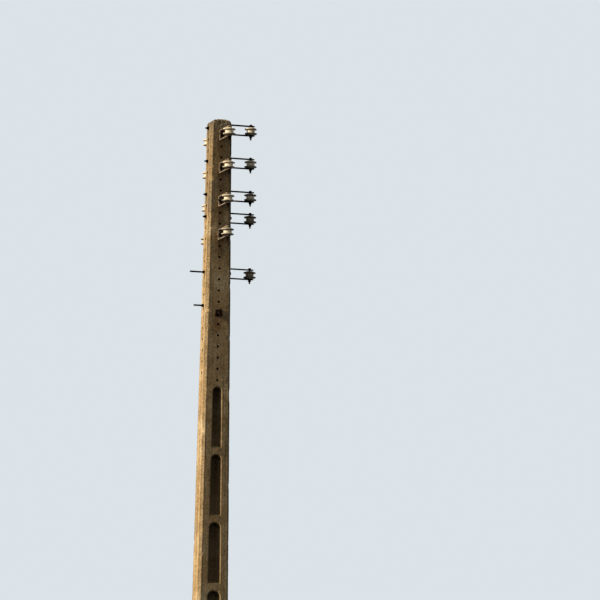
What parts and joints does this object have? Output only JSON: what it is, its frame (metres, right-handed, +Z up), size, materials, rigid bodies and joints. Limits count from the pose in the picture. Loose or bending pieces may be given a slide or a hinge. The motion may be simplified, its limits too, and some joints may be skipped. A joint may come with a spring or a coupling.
{
  "type": "concrete utility pole",
  "caption": "Tapered precast concrete line pole with arched recesses, rows of bolt holes and U-shaped brackets that hold spool insulators on three sides.",
  "frame": {"origin": "middle of the foot, at ground level", "axes": "+Z up along the pole, +X towards the side with the long row of spool brackets, -Y towards the front wide face"},
  "size_m": [0.6109, 0.748, 7.61],
  "materials": {
    "concrete": "weathered vibrated concrete, matt",
    "galvanised_strap": "galvanised flat bar, rusted and dirty",
    "bolt_steel": "galvanised bolts, rusted",
    "cream_glaze": "cream glazed porcelain, dusty",
    "brown_glaze": "olive brown glazed porcelain, dirty"
  },
  "bodies": {
    "root": {"pole_shaft": "concrete", "right_bracket_1": "galvanised_strap", "right_bracket_2": "galvanised_strap", "right_bracket_3": "galvanised_strap", "right_bracket_4": "galvanised_strap", "right_bracket_5": "galvanised_strap", "front_bracket_1": "galvanised_strap", "front_bracket_2": "galvanised_strap", "front_bracket_3": "galvanised_strap", "front_bracket_4": "galvanised_strap", "back_bracket_1": "galvanised_strap", "back_bracket_2": "galvanised_strap", "back_bracket_3": "galvanised_strap", "back_bracket_4": "galvanised_strap", "right_spool_1": "cream_glaze", "right_spool_2": "cream_glaze", "right_spool_3": "cream_glaze", "right_spool_4": "brown_glaze", "right_spool_5": "brown_glaze", "front_spool_1": "cream_glaze", "front_spool_2": "cream_glaze", "front_spool_3": "cream_glaze", "front_spool_4": "cream_glaze", "back_spool_1": "cream_glaze", "back_spool_2": "cream_glaze", "back_spool_3": "cream_glaze", "back_spool_4": "cream_glaze", "right_spool_bolts": "bolt_steel", "front_spool_bolts": "bolt_steel", "back_spool_bolts": "bolt_steel", "side_bolt_1": "bolt_steel", "side_bolt_2": "bolt_steel", "side_bolt_3": "bolt_steel", "side_bolt_4": "bolt_steel", "side_bolt_5": "bolt_steel", "face_bolt_1": "bolt_steel", "face_bolt_2": "bolt_steel", "face_bolt_3": "bolt_steel", "face_bolt_4": "bolt_steel", "spare_bolt": "bolt_steel", "eye_bolt": "bolt_steel", "eye_nut": "bolt_steel"}
  },
  "joints": []
}
